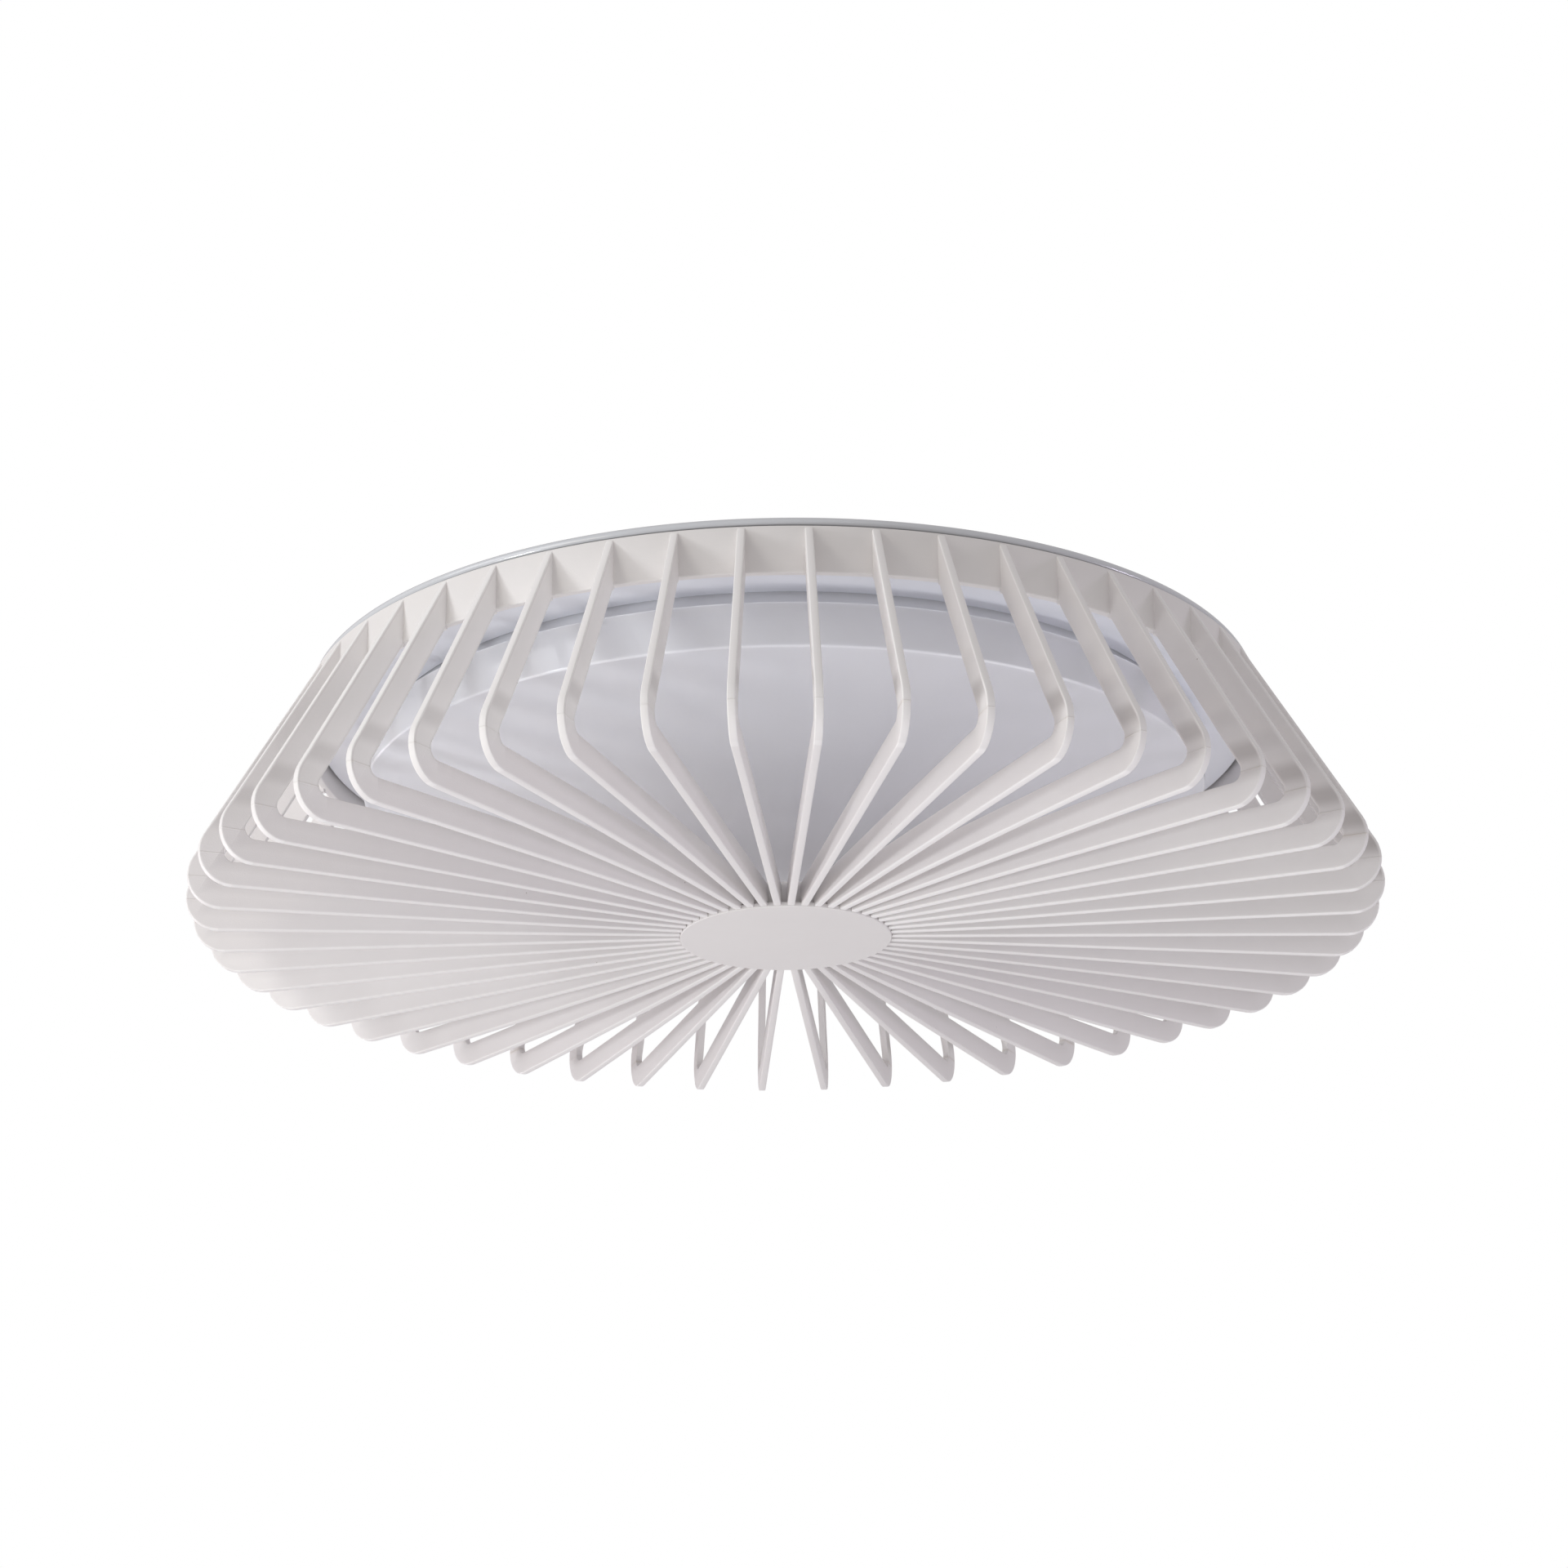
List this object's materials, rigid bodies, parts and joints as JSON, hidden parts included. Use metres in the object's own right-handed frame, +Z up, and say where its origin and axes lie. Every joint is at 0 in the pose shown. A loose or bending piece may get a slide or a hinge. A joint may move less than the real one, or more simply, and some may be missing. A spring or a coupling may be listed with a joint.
{
  "type": "flush ceiling light with radial-fin cage",
  "caption": "Round LED flush ceiling light: a white cage of thin radial fins round an opal twist-off diffuser, on a glossy base pan that hangs from a ceiling bracket.",
  "frame": {"origin": "centre of the ceiling face, on the light's centre line", "axes": "+Z up into the ceiling, -Y towards the viewer of the picture, +X to the viewer's right; the light hangs below z = 0"},
  "size_m": [0.5, 0.4994, 0.1053],
  "materials": {
    "cage_white": "fine matte moulded plastic, warm white",
    "pan_white": "glossy white paint on rolled steel",
    "trim_white": "glossy moulded plastic, cool white",
    "opal": "satin opal acrylic that scatters light",
    "zinc_steel": "bright zinc plate",
    "spring_steel": "bare spring steel",
    "nut_brass": "plain turned brass",
    "foam_grey": "moulded rubber",
    "terminal_grey": "moulded polyamide",
    "lever_slate": "moulded plastic",
    "earth_green": "sleeved lead",
    "grommet_black": "soft moulded rubber",
    "lead_brown": "sleeved leads",
    "lead_red": "sleeved leads",
    "driver_white": "moulded plastic",
    "circuit_green": "lacquered circuit board",
    "ferrite": "dull pressed ferrite",
    "copper": "lacquered winding",
    "can_black": "sleeved can",
    "tray_aluminium": "bare sheet",
    "board_white": "white lacquer on aluminium",
    "phosphor": "phosphor-filled silicone in white frames"
  },
  "bodies": {
    "base": {"base_pan": "pan_white", "trim_ring": "trim_white", "ceiling_bracket": "zinc_steel", "stud_washers": "zinc_steel", "trim_screws": "zinc_steel", "terminal_screws": "zinc_steel", "earth_screw": "zinc_steel", "driver_screws": "zinc_steel", "tray_screws": "zinc_steel", "board_screws": "zinc_steel", "lever_pin": "zinc_steel", "bracket_studs": "zinc_steel", "cage_clips": "spring_steel", "clip_rivets": "spring_steel", "stud_nuts": "nut_brass", "earth_tag": "nut_brass", "ceiling_gasket": "foam_grey", "terminal_block": "terminal_grey", "earth_lead": "earth_green", "wire_grommet": "grommet_black", "mains_leads": "lead_brown", "led_leads": "lead_red", "driver_case": "driver_white", "driver_cover": "driver_white", "driver_board": "circuit_green", "transformer_core": "ferrite", "transformer_coil": "copper", "driver_capacitors": "can_black", "gear_tray": "tray_aluminium", "tray_posts": "tray_aluminium", "led_board": "board_white", "led_packages": "phosphor"},
    "cage": {"cage_ring": "cage_white", "cage_fins": "cage_white", "cage_hub": "cage_white", "hub_cap": "cage_white", "hub_screws": "zinc_steel"},
    "bowl": {"diffuser": "opal"},
    "live_clamp": {"lever_live": "lever_slate"},
    "neutral_clamp": {"lever_neutral": "lever_slate"},
    "earth_clamp": {"lever_earth": "lever_slate"}
  },
  "joints": [
    {"name": "cage_pull", "type": "slide", "parent": "base", "child": "cage", "axis": [0, 0, -1], "range_m": [0, 0.12]},
    {"name": "diffuser_twist", "type": "hinge", "parent": "base", "child": "bowl", "pos_m": [0, 0, -0.0131], "axis": [0, 0, 1], "range_deg": [0, 15]},
    {"name": "live_lever_lift", "type": "hinge", "parent": "base", "child": "live_clamp", "pos_m": [-0.01, 0.0385, -0.0125], "axis": [-1, 0, 0], "range_deg": [0, 80]},
    {"name": "neutral_lever_lift", "type": "hinge", "parent": "base", "child": "neutral_clamp", "pos_m": [0, 0.0385, -0.0125], "axis": [-1, 0, 0], "range_deg": [0, 80]},
    {"name": "earth_lever_lift", "type": "hinge", "parent": "base", "child": "earth_clamp", "pos_m": [0.01, 0.0385, -0.0125], "axis": [-1, 0, 0], "range_deg": [0, 80]}
  ]
}
